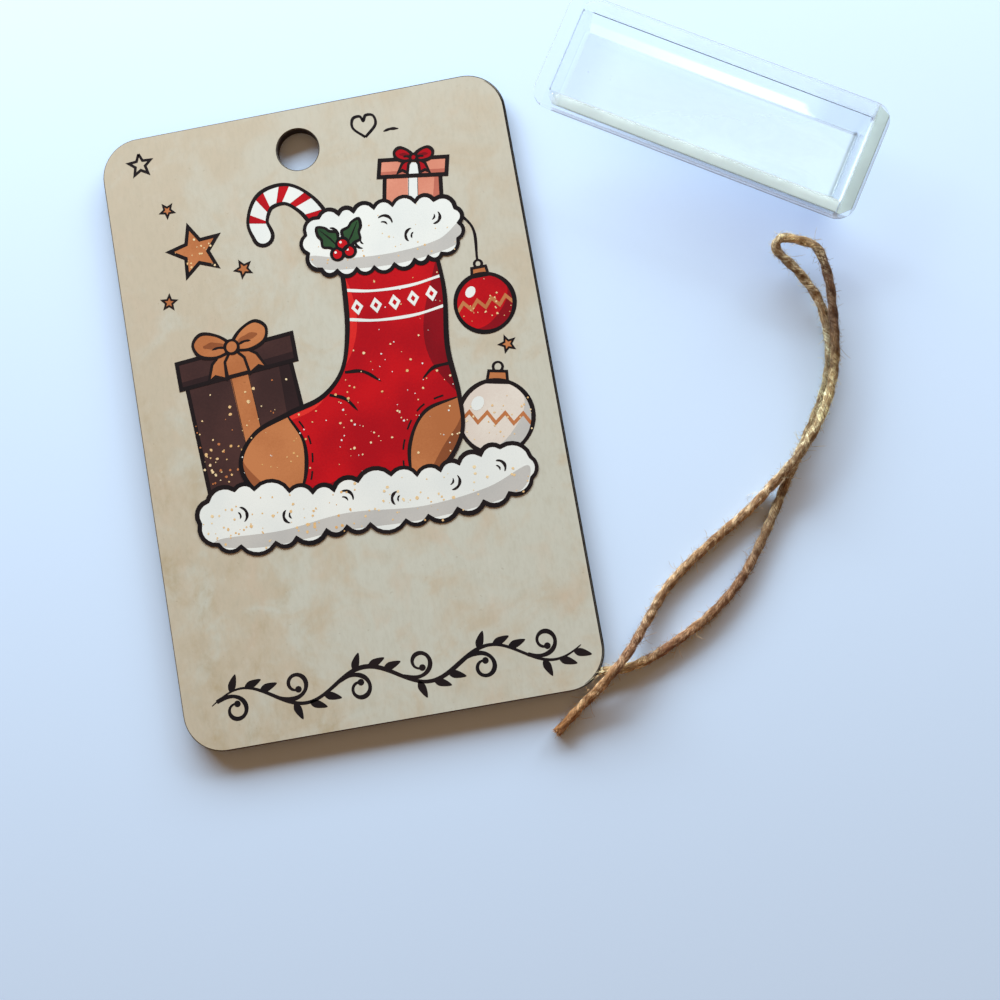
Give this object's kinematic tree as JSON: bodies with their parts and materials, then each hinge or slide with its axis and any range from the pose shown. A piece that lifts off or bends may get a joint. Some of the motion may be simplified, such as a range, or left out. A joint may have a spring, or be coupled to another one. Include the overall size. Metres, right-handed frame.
{
  "type": "money gift tag",
  "caption": "Printed board gift tag with rounded corners and a hanging hole, a clear flanged pouch for rolled banknotes with adhesive strips, and a loose length of jute twine.",
  "frame": {"origin": "middle of the tag's flat back face, on the surface that the set lies on", "axes": "+X to the tag's right as its printed face is read, +Y towards its hanging hole, +Z out of its printed face, up from the surface"},
  "size_m": [0.1898, 0.1734, 0.0089],
  "materials": {
    "board": "raw brown hardboard, charred dark along its cut edges",
    "print": "semi-gloss parchment print",
    "clear_plastic": "clear, glossy, thermoformed",
    "tape": "milky adhesive tape",
    "liner": "satin release liner",
    "jute": "two-ply hairy jute",
    "ink_red": "semi-gloss printed ink",
    "ink_white": "semi-gloss printed ink",
    "ink_black": "semi-gloss printed ink",
    "ink_brown": "semi-gloss printed ink",
    "ink_tan": "semi-gloss printed ink",
    "ink_green": "semi-gloss printed ink",
    "ink_gold": "semi-gloss printed ink"
  },
  "bodies": {
    "tag": {"tag_board": "board", "printed_face": "print", "hanging_twine": "jute"},
    "pouch": {"pouch_shell": "clear_plastic", "adhesive_strip_top": "tape", "adhesive_strip_end": "tape", "adhesive_strip_bottom": "tape"},
    "liner_top": {"release_liner_top": "liner"},
    "liner_end": {"release_liner_end": "liner"},
    "liner_bottom": {"release_liner_bottom": "liner"}
  },
  "joints": [
    {"name": "pouch_lift", "type": "slide", "parent": "tag", "child": "pouch", "axis": [0, 0, 1], "range_m": [0, 0.06]},
    {"name": "liner_top_peel", "type": "slide", "parent": "pouch", "child": "liner_top", "axis": [0, 0, 1], "range_m": [0, 0.03]},
    {"name": "liner_end_peel", "type": "slide", "parent": "pouch", "child": "liner_end", "axis": [0, 0, 1], "range_m": [0, 0.03]},
    {"name": "liner_bottom_peel", "type": "slide", "parent": "pouch", "child": "liner_bottom", "axis": [0, 0, 1], "range_m": [0, 0.03]}
  ]
}
